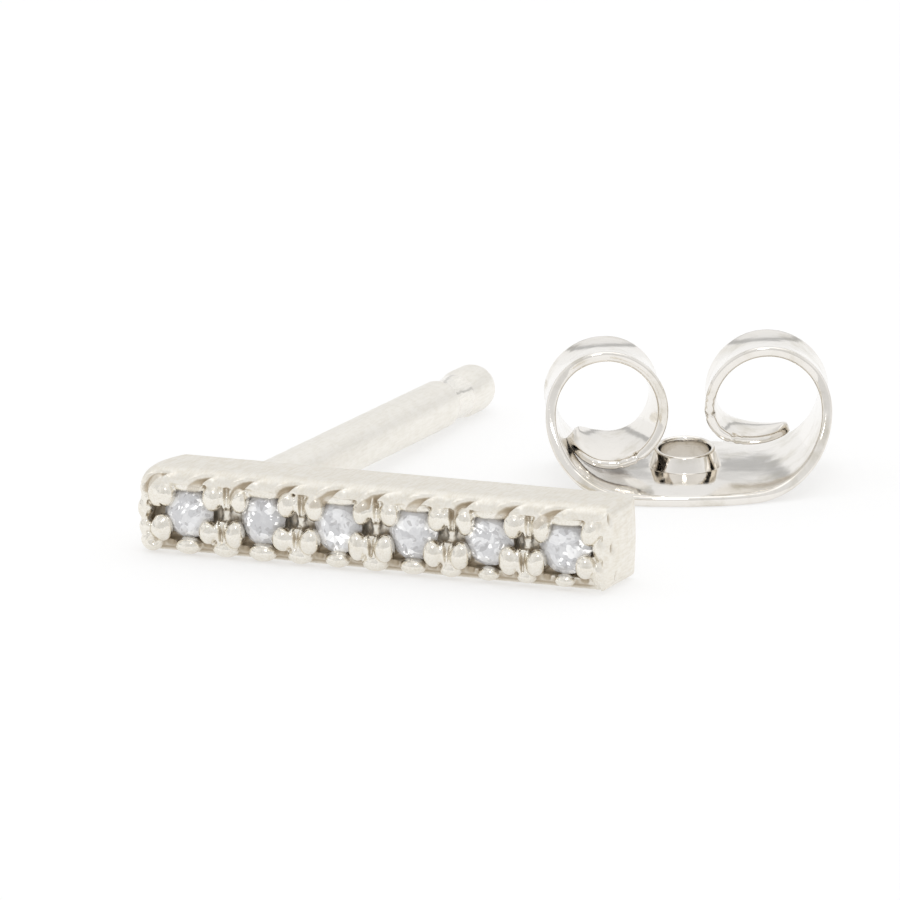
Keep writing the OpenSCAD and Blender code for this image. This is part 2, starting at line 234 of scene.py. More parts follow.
# Cloudy grey stone: facets of slightly different greys, small white flecks in drifts, partly inclusions and
# partly painted glints, and painted shade darkening the upper edge
stoneLook = {
    "body": colour(0.58, 0.58, 0.595),
    "cloud": colour(0.88, 0.88, 0.89),
    "dark": colour(0.30, 0.285, 0.285),
    "fleckAndGlint": colour(1.0, 1.0, 1.0),
    "warp": (0.3, 0.3, 0.3),
    "plateScale": 6.0,
    "chipScale": 17.0,
    "fineScale": 10.0,
    "driftScale": 2.6,
    "bumpDepth": 0.02,
    "ior": 1.9,
}


def stoneMaterial():
    material, graph, where = newMaterial("greyStone")
    warp = graph.clouds(where, 3.0, 2.0, out="Color")
    bent = graph.add("ShaderNodeVectorMath", {"operation": "MULTIPLY_ADD"},
                     {0: warp, 1: stoneLook["warp"], 2: where})
    plate = graph.cells(bent, stoneLook["plateScale"])
    chip = graph.cells(bent, stoneLook["chipScale"])
    fine = graph.clouds(bent, stoneLook["fineScale"], 5.0, 0.7)
    drift = graph.clouds(where, stoneLook["driftScale"], 1.0)
    shade = graph.mark("shade")
    base = graph.colourMix(graph.span(fine * 0.5 + plate * 0.5, 0.25, 0.75), stoneLook["body"],
                           stoneLook["cloud"])
    base = graph.colourMix(graph.span(chip, 0.04, 0.2, 0.5, 0.0), base, stoneLook["dark"])
    # white flecks, partly inclusions and partly painted glints; the brightest sparkle also glows
    sparkle = chip + graph.span(drift, 0.4, 0.68, -0.1, 0.14)
    bright = graph.span(plate + graph.span(drift, 0.4, 0.65, -0.2, 0.12), 0.79, 0.87, 0.0, 0.85)
    base = graph.colourMix(bright, base, stoneLook["fleckAndGlint"])
    base = graph.colourMix(graph.span(sparkle, 0.86, 0.93), base, stoneLook["fleckAndGlint"])
    # painted shade: the upper edge of each stone darkened by the shade mark
    base = graph.colourMix(graph.span(shade + (plate - 0.5) * 0.5, 0.3, 0.8, 0.0, 0.6), base, stoneLook["dark"])
    # painted glint: emission on the brightest sparkle, kept out of the painted shade
    glow = graph.span(sparkle, 0.9, 0.98, 0.0, 0.4) * (1.0 - shade)
    height = plate * 0.7 + chip * 0.25 + fine * 0.6
    graph.shade({
        "Base Color": base, "Roughness": graph.span(fine, 0.3, 0.8, 0.06, 0.3), "IOR": stoneLook["ior"],
        "Coat Weight": 1.0, "Coat Roughness": 0.03, "Normal": graph.bump(0.5, stoneLook["bumpDepth"], height),
        "Emission Color": graph.colourMix(glow, colour(0, 0, 0), colour(1, 1, 1)), "Emission Strength": 1.0})
    return material


satinBar = satinMetal("satinBar", satin["metal"], satin["warm"])
# the post's material: the lighter, painted-light copy of the same metal
satinPost = satinMetal("satinPost", satin["postLitMetal"], satin["postLitWarm"])
polishedNut = polishedMetal()
greyStone = stoneMaterial()
print("materials made")


def newObject(name, data):
    obj = bpy.data.objects.new(name, data)
    bpy.context.scene.collection.objects.link(obj)
    return obj


def meshFrom(name, points, faces):
    mesh = bpy.data.meshes.new(name)
    mesh.from_pydata([tuple(p) for p in points], [], faces)
    mesh.validate()
    return mesh


# Opens a mesh for bmesh work and writes it back
@contextmanager
def edited(mesh):
    form = bmesh.new()
    form.from_mesh(mesh)
    yield form
    form.to_mesh(mesh)
    form.free()


# A closed object with all its faces turned outwards
def closedObject(name, points, faces):
    mesh = meshFrom(name, points, faces)
    with edited(mesh) as form:
        bmesh.ops.triangulate(form, faces=[f for f in form.faces if len(f.verts) > 4])
        bmesh.ops.recalc_face_normals(form, faces=form.faces)
    return newObject(name, mesh)


# Replaces an object's mesh by its evaluated one and takes the modifiers off
def bakeModifiers(obj):
    evaluated = obj.evaluated_get(bpy.context.evaluated_depsgraph_get())
    baked = bpy.data.meshes.new_from_object(evaluated)
    obj.modifiers.clear()
    obj.data = baked
    return obj


def applyModifiers(obj, *modifiers):
    for kind, settings in modifiers:
        modifier = obj.modifiers.new(kind.lower(), kind)
        for name, value in settings.items():
            setattr(modifier, name, value)
    bakeModifiers(obj)


# A finished piece: millimetres of its own frame become the frame's metres
def finishPiece(obj, name, place, material, slotName, *nodes):
    obj.name = name
    obj.data.name = name
    obj.data.transform(Matrix.Scale(mm, 4) @ place)
    low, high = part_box(nodes[0])
    setPoints(obj.data, np.clip(meshPoints(obj.data), low, high))
    obj.data.materials.clear()
    obj.data.materials.append(material)
    obj.data.update()
    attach(obj, "root")
    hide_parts(*nodes)
    print("piece", name, len(obj.data.polygons), "faces")


def smoothShaded(mesh, sharpAngle=None):
    mesh.polygons.foreach_set("use_smooth", np.ones(len(mesh.polygons), bool))
    if sharpAngle:
        with edited(mesh) as form:
            for edge in form.edges:
                edge.smooth = len(edge.link_faces) != 2 or edge.calc_face_angle(0.0) < sharpAngle


def readVectors(items, field):
    values = np.empty(len(items) * 3)
    items.foreach_get(field, values)
    return values.reshape(-1, 3)


def meshPoints(mesh):
    return readVectors(mesh.vertices, "co")


def meshNormals(mesh):
    return readVectors(mesh.vertex_normals, "vector")


def setPoints(mesh, points):
    mesh.vertices.foreach_set("co", np.asarray(points, float).ravel())
    mesh.update()


def storeMark(mesh, name, values):
    mark = mesh.attributes.get(name) or mesh.attributes.new(name, "FLOAT", "POINT")
    mark.data.foreach_set("value", np.asarray(values, float))


def readMark(mesh, name):
    values = np.empty(len(mesh.vertices))
    mesh.attributes[name].data.foreach_get("value", values)
    return values


def noiseAt(points, scale, seed):
    shift = Vector((seed * 7.3, seed * 3.1, seed * 5.7))
    return np.array([noise.noise(Vector(p) * scale + shift) for p in points])


def smoothStep(values, low, high):
    t = np.clip((values - low) / (high - low), 0.0, 1.0)
    return t * t * (3 - 2 * t)


# A Geometry Nodes group with one named input for each size
def geometryTree(name, sizes):
    tree = bpy.data.node_groups.new(name, "GeometryNodeTree")
    for way in ("INPUT", "OUTPUT"):
        tree.interface.new_socket("Geometry", in_out=way, socket_type="NodeSocketGeometry")
    for label, value in sizes.items():
        kind = "NodeSocketInt" if isinstance(value, int) else "NodeSocketFloat"
        tree.interface.new_socket(label, in_out="INPUT", socket_type=kind).default_value = value
    graph = Graph(tree)
    group = tree.nodes.new("NodeGroupInput")
    return graph, {label: Wire(graph, group.outputs[label]) for label in ("Geometry", *sizes)}


def endTree(graph, geometry, material=None):
    if material:
        real = graph.add("GeometryNodeRealizeInstances", {}, {"Geometry": geometry})
        geometry = graph.add("GeometryNodeSetMaterial", {}, {"Geometry": real, "Material": material})
    graph.add("NodeGroupOutput", {}, {"Geometry": geometry})


# Runs a tree on an object; its inputs are set by socket identifier before the first evaluation
def runTree(obj, graph, sizes):
    modifier = obj.modifiers.new("tree", "NODES")
    modifier.node_group = graph.tree
    identifiers = {item.name: item.identifier for item in graph.tree.interface.items_tree
                   if item.in_out == "INPUT"}
    for label, value in sizes.items():
        modifier[identifiers[label]] = value
    return bakeModifiers(obj)


# Where the stud lies: its bar leans back on its lower back edge and the post's tip
mounts = {m["name"]: m for m in frame["record"]["mounts"]}
bar = {
    "length": 8.8, "height": 1.5, "depth": 1.45,
    "postFromEnd": 1.3,
}
stones = {
    "count": 6,
    "diameter": 1.0,
    "pitch": 1.42,
    "sink": 0.2,
    "table": 0.58,
    "crown": 0.15,
    "girdle": 0.03,
    "pavilion": 0.42,
    "jitter": 0.012,
    "shadeDrop": 0.09,
    "forms": [(0.94, 0.93), (0.84, 0.99), (0.9, 1.0), (0.92, 0.99), (0.92, 0.93), (0.98, 0.98)],
    "seed": 11,
}
backMount = mounts["bar_back"]
lean = Matrix.Rotation(-math.asin(-backMount["axis"][2]), 4, "X")
rowLeft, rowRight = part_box("stone_1")[0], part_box("stone_%d" % stones["count"])[1]
backMiddle = Vector(backMount["pos_m"]) / mm - lean @ Vector((0, 0, bar["height"] / 2))
backMiddle.x = (rowLeft.x + rowRight.x) / 2 / mm
studPlace = Matrix.Translation(backMiddle) @ lean


# The CAD solid in the stud's own frame, in millimetres, merged, with the post cut off at the back
def plainBar():
    mesh = frame["nodes"]["bar_and_post"].data.copy()
    mesh.transform(studPlace.inverted() @ Matrix.Scale(1 / mm, 4))
    with edited(mesh) as form:
        bmesh.ops.remove_doubles(form, verts=form.verts, dist=0.0002)
        cut = bmesh.ops.bisect_plane(form, geom=form.verts[:] + form.edges[:] + form.faces[:], dist=0.0001,
                                     plane_co=(0, 0.02, 0), plane_no=(0, 1, 0), clear_outer=True)
        rim = [e for e in cut["geom_cut"] if isinstance(e, bmesh.types.BMEdge)]
        bmesh.ops.contextual_create(form, geom=rim)
    return newObject("bar", mesh)


# Where the first copy of a row stands, when the row is centred on the bar
def rowStart(given):
    return given["pitch"] * (0.5 - given["count"] / 2.0)


# One copy of a form for each stone, lobe or gap along the row
def rowCopies(graph, given, start, form, **settings):
    row = graph.add("GeometryNodeMeshLine", {}, {"Count": given["count"], "Start Location": start,
                                                 "Offset": graph.xyz(given["pitch"])})
    return graph.add("GeometryNodeInstanceOnPoints", {}, {"Points": row, "Instance": form, **settings})


def rowObject(name, graph, sizes, geometry):
    endTree(graph, geometry, satinBar)
    return runTree(newObject(name, bpy.data.meshes.new(name)), graph, sizes)


# Drop-shaped beads over the prongs: four round each stone, every one a little different
beads = {
    "width": 0.355, "depth": 0.35, "height": 0.48,
    "reachX": 0.45,
    "reachZ": 0.305,
    "slant": 0.045,
    "tilt": 0.12,
    "turned": 0.15,
    "front": -1.37,
    "uneven": 0.1,
    "seed": 3,
}


def beadRow():
    sizes = {**beads, "count": stones["count"], "pitch": stones["pitch"], "middle": bar["height"] / 2}
    tilt, turned = sizes.pop("tilt"), sizes.pop("turned")
    graph, given = geometryTree("beadRow", sizes)
    ball = graph.ball(4)
    size = graph.xyz(given["width"] / 2.0, given["depth"] / 2.0, given["height"] / 2.0)
    least = graph.scaled(size, graph.xyz(1.0 - given["uneven"] / 2.0, 1.0, 1.0 - given["uneven"]))
    most = graph.scaled(size, graph.xyz(1.0 + given["uneven"], 1.0, 1.0 + given["uneven"]))
    rows = []
    for number, (sideX, sideZ) in enumerate([(-1, -1), (-1, 1), (1, -1), (1, 1)]):
        start = graph.xyz(rowStart(given) + given["reachX"] * sideX + given["slant"] * sideZ, given["front"],
                          given["middle"] + given["reachZ"] * sideZ)
        spread = graph.add("FunctionNodeRandomValue", {"data_type": "FLOAT_VECTOR"},
                           {0: least, 1: most, "Seed": given["seed"] + number})
        way = tilt * sideX * sideZ
        turn = graph.add("FunctionNodeRandomValue", {"data_type": "FLOAT_VECTOR"},
                         {0: (0.0, way - turned, 0.0), 1: (0.0, way + turned, 0.0), "Seed": given["seed"] + 9})
        rows.append(rowCopies(graph, given, start, ball, Rotation=turn, Scale=spread))
    return rowObject("beads", graph, sizes, graph.add("GeometryNodeJoinGeometry", {}, {"Geometry": rows}))


# Rounded lobes of the lower rim, one under every stone and one between, and brows over the stones
lobes = {
    "width": 0.48, "depth": 0.36, "height": 0.31,
    "front": -1.28,
    "level": 0.16,
    "uneven": 0.16,
    "swell": 0.36,
    "seed": 8,
}
brows = {
    "width": 0.8, "depth": 0.3, "height": 0.22,
    "front": -1.28,
    "level": 1.21,
    "uneven": 0.12,
    "swell": 0.0,
    "seed": 5,
}


def lobeRow(form, count, pitch):
    sizes = {**form, "count": count, "pitch": pitch}
    graph, given = geometryTree("lobeRow", sizes)
    size = graph.xyz(given["width"] / 2.0, given["depth"] / 2.0, given["height"] / 2.0)
    lobe = graph.add("GeometryNodeTransform", {}, {"Geometry": graph.ball(4), "Scale": size})
    spread = graph.add("FunctionNodeRandomValue", {}, {2: 1.0 - given["uneven"], 3: 1.0,
                                                       "Seed": given["seed"]}, 1)
    along = graph.add("GeometryNodeInputIndex", {}, {}) / given["count"]
    spread = spread * (1.0 + given["swell"] * (0.5 - along))
    start = graph.xyz(rowStart(given), given["front"], given["level"])
    return rowObject("lobes", graph, sizes, rowCopies(graph, given, start, lobe, Scale=spread))


# Thin ribs between the stones: upright pairs at both rims, a crossed pair and a floor
ribs = {
    "radius": 0.045,
    "apart": 0.12,
    "height": 0.5,
    "front": -1.3,
    "reach": 0.33,
    "lean": 0.05,
    "turn": 0.09,
    "stagger": 0.02,
    "sink": 0.15,
    "crossed": 0.55,
    "crossedShape": (1.7, 1.0, 0.72),
    "floorSink": 0.08,
    "floor": (0.3, 0.14, 0.36),
}


def ribRow():
    sizes = {**ribs, "count": stones["count"] - 1, "pitch": stones["pitch"], "middle": bar["height"] / 2}
    crossedShape, floor = sizes.pop("crossedShape"), sizes.pop("floor")
    graph, given = geometryTree("ribRow", sizes)
    ball, forms = graph.ball(3), []

    def addForm(spot, size, turn=0.0):
        forms.append(graph.add("GeometryNodeTransform", {}, {
            "Geometry": ball, "Translation": spot, "Scale": size, "Rotation": graph.xyz(y=turn)}))

    size = graph.xyz(given["radius"], given["radius"] * 3.0, given["height"] / 2.0)
    for sideX in (-1, 1):
        for sideZ in (-1, 1):
            spot = graph.xyz(given["apart"] * (0.5 * sideX) + given["lean"] * sideZ,
                             given["front"] + given["stagger"] * sideX,
                             given["middle"] + given["reach"] * sideZ)
            addForm(spot, size, given["turn"] * sideX)
    deep = given["front"] + given["sink"]
    for way in (-1, 1):
        addForm(graph.xyz(0.0, deep, given["middle"]), graph.scaled(size, crossedShape), given["crossed"] * way)
    addForm(graph.xyz(0.0, deep + given["floorSink"], given["middle"]), floor)
    cluster = graph.add("GeometryNodeJoinGeometry", {}, {"Geometry": forms})
    return rowObject("ribs", graph, sizes, rowCopies(graph, given, graph.xyz(rowStart(given)), cluster))


# Beads and lobes at the row's two ends, as place and half sizes; the ring's place, radius and depth
endForms = {
    "left": [((-4.1, -1.35, 1.1), (0.2, 0.16, 0.3)), ((-4.37, -1.27, 0.76), (0.15, 0.16, 0.21)),
             ((-4.02, -1.36, 0.46), (0.2, 0.15, 0.25)), ((-4.35, -1.28, 1.12), (0.12, 0.14, 0.17)),
             ((-4.35, -1.28, 0.44), (0.14, 0.15, 0.15)), ((-4.24, -1.31, 0.2), (0.2, 0.15, 0.19))],
    "right": [((4.2, -1.26, 1.14), (0.17, 0.15, 0.19)), ((4.22, -1.27, 0.76), (0.16, 0.15, 0.24)),
              ((4.2, -1.26, 0.33), (0.17, 0.15, 0.25))],
    "ring": ((-4.17, -1.46, 0.22), 0.075, 0.09),
}


def endLobes():
    mesh = bpy.data.meshes.new("endLobes")
    with edited(mesh) as form:
        for place, halves in endForms["left"] + endForms["right"]:
            bmesh.ops.create_icosphere(form, subdivisions=4, radius=1.0,
                                       matrix=Matrix.Translation(place) @ Matrix.Diagonal((*halves, 1.0)))
    return newObject("endLobes", mesh)


def joined(name, objects):
    mesh = bpy.data.meshes.new(name)
    with edited(mesh) as form:
        for obj in objects:
            form.from_mesh(obj.data)
    for obj in objects:
        bpy.data.objects.remove(obj)
    return newObject(name, mesh)


# Drops the specks that remeshing leaves: every island but the largest
def keepLargest(mesh):
    with edited(mesh) as form:
        unseen, islands = set(form.verts), []
        while unseen:
            island, edge = [], [unseen.pop()]
            while edge:
                corner = edge.pop()
                island.append(corner)
                for link in corner.link_edges:
                    other = link.other_vert(corner)
                    if other in unseen:
                        unseen.remove(other)
                        edge.append(other)
            islands.append(island)
        islands.sort(key=len)
        specks = [corner for island in islands[:-1] for corner in island]
        bmesh.ops.delete(form, geom=specks, context="VERTS")


# How far a surface lies below its surroundings, from the blurred surface, for painted shade with some oxide in
# the hollows
def markHollows(obj, blur, depth):
    sizes = {"blur": blur, "depth": depth}
    graph, given = geometryTree("markHollows", sizes)
    place = graph.add("GeometryNodeInputPosition", {}, {})
    soft = graph.add("GeometryNodeBlurAttribute", {"data_type": "FLOAT_VECTOR"},
                     {"Value": place, "Iterations": given["blur"]})
    away = graph.add("ShaderNodeVectorMath", {"operation": "SUBTRACT"}, {0: soft, 1: place})
    normal = graph.add("GeometryNodeInputNormal", {}, {})
    sunk = graph.dot(away, normal)
    endTree(graph, graph.add("GeometryNodeStoreNamedAttribute", {"data_type": "FLOAT", "domain": "POINT"}, {
        "Geometry": given["Geometry"], "Name": "hollow", "Value": sunk / given["depth"]}))
    runTree(obj, graph, sizes)


# Share of short rays leaving each point that meet the piece again, for painted shade in deep places, with some
# oxide
def markCrevices(mesh, reach, rays=26, lift=0.01, grazing=0.1):
    form = bmesh.new()
    form.from_mesh(mesh)
    tree = BVHTree.FromBMesh(form)
    form.free()
    ways = []
    for i in range(rays):
        up, turn = 1 - (2 * i + 1) / rays, i * math.pi * (3 - math.sqrt(5))
        across = math.sqrt(1 - up * up)
        ways.append(Vector((across * math.cos(turn), across * math.sin(turn), up)))
    shut = []
    for point, normal in zip(map(Vector, meshPoints(mesh)), map(Vector, meshNormals(mesh))):
        start = point + normal * lift
        met = total = 0.0
        for way in ways:
            facing = way.dot(normal)
            if facing > grazing:
                total += facing
                if tree.ray_cast(start, way, reach)[0]:
                    met += facing
        shut.append(met / max(total, grazing))
    storeMark(mesh, "crevice", shut)


casting = {
    "voxel": 0.022,
    "faces": 190000,
    "uneven": 0.006,
    "settingFrom": 1.05,
    "upperRound": 0.29, "upperReach": 0.4, "lowerFrontRound": 0.24,
    "leftTopRound": 0.34, "leftFrontRound": 0.16, "leftBulge": 0.16,
    "rightTopRound": 0.24, "rightFrontRound": 0.28, "rightBackRound": 0.14, "rightPillow": 0.07,
    "notchFirst": 0.43, "notchPitch": 0.83,
    "notchDepth": 0.19,
    "notchSides": (0.17, 0.05),
    "notchSlant": 0.65,
    "notchReach": (-0.06, 0.13),
    "cutShare": 0.7,
    "burr": 0.04,
    "burrs": [(-0.24, 0.06), (0.12, 0.05)],
    "lobeRecess": 0.17,
    "lobeLift": 0.06,
    "recessBehind": (-0.35, -0.15), "recessBelow": (0.2, 0.32), "recessFromEnd": (0.3, 0.12),
    "dents": [(0.2, 1.3), (0.25, 0.78), (0.43, 0.25)],
    "dentRadius": 0.05, "dentDepth": 0.1,
    "hollowBlur": 14, "hollowDepth": 0.05, "creviceReach": 0.5,
    "shadeBehind": (0.1, 0.2), "shadeBelow": (0.22, 0.34), "shadeFromEnd": (0.3, 0.5),
    "polishBehind": (0.22, 0.06), "polishBelow": (1.16, 1.28), "polishFromEnd": (0.25, 0.12),
}


# Pulls the points outside a rounded edge onto it; columns a and b, each with its corner and way in
def roundEdge(points, a, cornerA, inA, b, cornerB, inB, radius, reach=None):
    reach = reach or radius
    offA = (points[:, a] - cornerA) * inA / reach - 1
    offB = (points[:, b] - cornerB) * inB / radius - 1
    away = np.hypot(offA, offB)
    outside = (offA < 0) & (offB < 0) & (away > 1)
    pull = np.where(outside, 1 / np.maximum(away, 1e-9), 1.0)
    points[:, a] = cornerA + inA * (offA * pull + 1) * reach
    points[:, b] = cornerB + inB * (offB * pull + 1) * radius


# Depth of the slanting notches filed over the upper front edge, each with a burr on both sides
def notchCut(points):
    x, y, z = points.T
    across = (z - bar["height"]) + (y + bar["depth"])
    near = smoothStep(-(y + bar["depth"]), -0.45, -0.2)
    near *= smoothStep(z, bar["height"] - 0.5, bar["height"] - 0.33)
    cut = np.zeros(len(points))
    for i in range(int(bar["length"] / casting["notchPitch"])):
        at = casting["notchFirst"] + casting["notchPitch"] * i - bar["length"] / 2
        off = x - at - casting["notchSlant"] * (across - 0.08)
        wide = np.where(off < 0, *casting["notchSides"])
        cut += casting["notchDepth"] * np.exp(-(off / wide) ** 2)
        cut -= casting["burr"] * sum(np.exp(-((off - place) / width) ** 2) for place, width in casting["burrs"])
    return cut * near * (1 - smoothStep(across, *casting["notchReach"]))


def shapeBar(points):
    height, depth, right = bar["height"], bar["depth"], bar["length"] / 2
    middle = depth / 2
    left = -bar["length"] / 2 - casting["leftBulge"] * (1 - ((points[:, 1] + middle) / middle) ** 2)
    roundEdge(points, 1, -depth, 1, 2, height, -1, casting["upperRound"], casting["upperReach"])
    roundEdge(points, 0, left, 1, 2, height, -1, casting["leftTopRound"])
    roundEdge(points, 0, left, 1, 2, 0.0, 1, casting["leftFrontRound"])
    roundEdge(points, 0, left, 1, 1, -depth, 1, casting["leftFrontRound"])
    roundEdge(points, 1, -depth, 1, 2, 0.0, 1, casting["lowerFrontRound"])
    middling = ((points[:, 1] + middle) / middle) ** 2 + ((points[:, 2] - height / 2) / (height / 2)) ** 2
    points[:, 0] -= casting["rightPillow"] * np.minimum(middling, 1.5) / 1.5 * (points[:, 0] > right - 0.05)
    roundEdge(points, 0, right, -1, 2, height, -1, casting["rightTopRound"])
    roundEdge(points, 0, right, -1, 2, 0.0, 1, casting["rightFrontRound"])
    roundEdge(points, 0, right, -1, 1, -depth, 1, casting["rightFrontRound"])
    roundEdge(points, 0, right, -1, 1, 0.0, -1, casting["rightBackRound"])
    cut = notchCut(points)
    points[:, 1] += casting["cutShare"] * cut
    points[:, 2] -= casting["cutShare"] * cut
    x, y, z = points.T.copy()
    # the lower rim stands back behind its lobes, except at the right end
    fromEnd = casting["recessFromEnd"]
    lower = smoothStep(-(y + depth), *casting["recessBehind"]) * (1 - smoothStep(z, *casting["recessBelow"]))
    lower *= 1 - smoothStep(x, right - fromEnd[0], right - fromEnd[1])
    points[:, 1] += casting["lobeRecess"] * lower
    points[:, 2] += casting["lobeLift"] * lower * (1 - smoothStep(z, 0.0, 0.15))


# Depth of the three small dents in the right end face
def dentDepth(points):
    deep = np.zeros(len(points))
    for fromFace, height in casting["dents"]:
        away = np.hypot(points[:, 1] + bar["depth"] - fromFace, (points[:, 2] - height) * 0.6)
        deep += casting["dentDepth"] * np.exp(-(away / casting["dentRadius"]) ** 2)
    return deep * smoothStep(points[:, 0], bar["length"] / 2 - 0.3, bar["length"] / 2 - 0.2)


# Painted shade behind the lower lobes, in the notches and in the dents, and the polish of the beads
def markBar(mesh, points):
    endX, front = bar["length"] / 2, -bar["depth"]
    behind, below, fromEnd = casting["shadeBehind"], casting["shadeBelow"], casting["shadeFromEnd"]
    setting = smoothStep(-points[:, 1], casting["settingFrom"], casting["settingFrom"] + 0.1)
    shadeMask = smoothStep(points[:, 1], front + behind[0], front + behind[1])
    shadeMask *= 1 - smoothStep(points[:, 2], *below)
    shadeMask *= setting * smoothStep(-points[:, 0], fromEnd[0] - endX, fromEnd[1] - endX)
    # painted shade behind the lower lobes, in the notches and in the dents, added onto the hollow mark
    notched = smoothStep(notchCut(points), 0.02, 0.09)
    hollow = readMark(mesh, "hollow") + (0.7 * notched + dentDepth(points) * 6 + 0.8 * shadeMask)
    storeMark(mesh, "hollow", hollow)
    behind, below, fromEnd = casting["polishBehind"], casting["polishBelow"], casting["polishFromEnd"]
    polish = (smoothStep(-points[:, 1], bar["depth"] - behind[0], bar["depth"] - behind[1])
              * (1 - smoothStep(points[:, 2], *below))
              * (1 - smoothStep(points[:, 0], endX - fromEnd[0], endX - fromEnd[1])))
    storeMark(mesh, "polish", polish)
    markCrevices(mesh, casting["creviceReach"])


def castBar():
    voxels = ("REMESH", {"mode": "VOXEL", "voxel_size": casting["voxel"]})
    metal = plainBar()
    applyModifiers(metal, voxels)
    points = meshPoints(metal.data)
    shapeBar(points)
    setPoints(metal.data, points)
    lower = lobeRow(lobes, 2 * stones["count"] - 1, stones["pitch"] / 2)
    upper = lobeRow(brows, stones["count"], stones["pitch"])
    metal = joined("barMetal", [metal, beadRow(), lower, upper, ribRow(), endLobes()])
    applyModifiers(metal, voxels, ("SMOOTH", {"factor": 0.5, "iterations": 2}))
    points, normals = meshPoints(metal.data), meshNormals(metal.data)
    setting = smoothStep(-points[:, 1], casting["settingFrom"], casting["settingFrom"] + 0.3)
    bumps = noiseAt(points, 3.0, 1) + 0.5 * noiseAt(points, 8.0, 2)
    points += normals * (bumps * casting["uneven"] * (0.3 + 1.2 * setting))[:, None]
    points[:, 0] -= dentDepth(points)
    ringAt, holeRadius, holeDepth = endForms["ring"]
    away = np.hypot(points[:, 0] - ringAt[0], points[:, 2] - ringAt[2])
    points[:, 1] += holeDepth * np.exp(-(away / holeRadius) ** 2) * smoothStep(-points[:, 1], 1.2, 1.35)
    setPoints(metal.data, points)
    markHollows(metal, casting["hollowBlur"], casting["hollowDepth"])
    triangles = sum(len(p.vertices) - 2 for p in metal.data.polygons)
    applyModifiers(metal, ("TRIANGULATE", {}), ("DECIMATE", {"ratio": min(1.0, casting["faces"] / triangles)}))
    keepLargest(metal.data)
    points = meshPoints(metal.data)
    points[:, 2] = np.maximum(points[:, 2], 0.0)
    setPoints(metal.data, points)
    markBar(metal.data, points)
    smoothShaded(metal.data)
    finishPiece(metal, "barMetal", studPlace, satinBar, "satin_metal", "bar_and_post")


castBar()

# The post, turned on a lathe: fillet at the bar, groove for the nut, round tip
post = {
    "diameter": 0.9,
    "length": 10.9,
    "root": 0.3,
    "fillet": 0.08,
    "grooveFromTip": 0.95,
    "grooveLength": 1.1,
    "grooveDepth": 0.075,
    "step": 0.07,
    "uneven": 0.006,
    "around": 96,
    "ring": 0.045,
    "fineRing": 0.012,
    "tipRings": 20,
}


def postRadius(along):
    full = post["diameter"] / 2
    grooveEnd = post["length"] - post["grooveFromTip"]
    grooveStart = grooveEnd - post["grooveLength"]
    tipCentre = post["length"] - full
    if along > tipCentre:
        return math.sqrt(max(0.0, full ** 2 - (along - tipCentre) ** 2))
    if grooveStart < along < grooveEnd:
        fall = min(1.0, (along - grooveStart) / post["step"])
        rise = max(0.0, (along - grooveStart - post["step"]) / (post["grooveLength"] - post["step"]))
        dip = math.sin(fall * math.pi / 2) * (1 - rise ** 2.2)
        return full - post["grooveDepth"] * dip
    if 0 <= along < post["fillet"]:
        return full + post["fillet"] * (1 - math.sqrt(1 - (1 - along / post["fillet"]) ** 2))
    return full


def lathe(profile, around, closed=False):
    points, faces = [], []
    for radius, along in profile:
        for k in range(around):
            angle = 2 * math.pi * k / around
            points.append((radius * math.cos(angle), radius * math.sin(angle), along))
    for row in range(len(profile) - (not closed)):
        for k in range(around):
            a, b = row * around + k, row * around + (k + 1) % around
            faces.append((a, b, (b + around) % len(points), (a + around) % len(points)))
    return points, faces


def turnedPost():
    full, around, rings, root = post["diameter"] / 2, post["around"], post["tipRings"], post["root"]
    grooveEnd = post["length"] - post["grooveFromTip"]
    straight = [-root + post["ring"] * i
                for i in range(int((post["length"] - full + root) / post["ring"]) + 1)]
    fine = [grooveEnd - post["grooveLength"] + post["fineRing"] * i for i in range(-3, 14)]
    straight = sorted(set(round(v, 4) for v in straight + fine))
    tip = [post["length"] - full + full * math.sin(math.pi / 2 * i / rings) for i in range(1, rings)]
    profile = [(postRadius(a), a) for a in straight + tip]
    points, faces = lathe(profile, around)
    points += [(0, 0, -root), (0, 0, post["length"])]
    start, end = len(points) - 2, len(points) - 1
    last = (len(profile) - 1) * around
    for k in range(around):
        faces.append((start, (k + 1) % around, k))
        faces.append((end, last + k, last + (k + 1) % around))
    mesh = meshFrom("post", points, faces)
    spots, normals = meshPoints(mesh), meshNormals(mesh)
    bumps = noiseAt(spots, 2.2, 5) + 0.6 * noiseAt(spots, 7.0, 6)
    spots -= normals * (np.abs(bumps) * post["uneven"])[:, None]
    setPoints(mesh, spots)
    inGroove = (spots[:, 2] > grooveEnd - post["grooveLength"]) & (spots[:, 2] < grooveEnd - 0.3)
    storeMark(mesh, "polish", inGroove)
    smoothShaded(mesh)
    axis = Vector((bar["postFromEnd"] - bar["length"] / 2, 0, bar["height"] / 2))
    place = studPlace @ Matrix.Translation(axis) @ Matrix.Rotation(-math.pi / 2, 4, "X")
    finishPiece(newObject("post", mesh), "post", place, satinPost, "satin_metal", "bar_and_post")


turnedPost()


# Six small brilliants, each turned and a little uneven
def facetRing(radius, height, count, first):
    return [Vector((radius * math.cos(first + 2 * math.pi * i / count),
                    radius * math.sin(first + 2 * math.pi * i / count), height)) for i in range(count)]


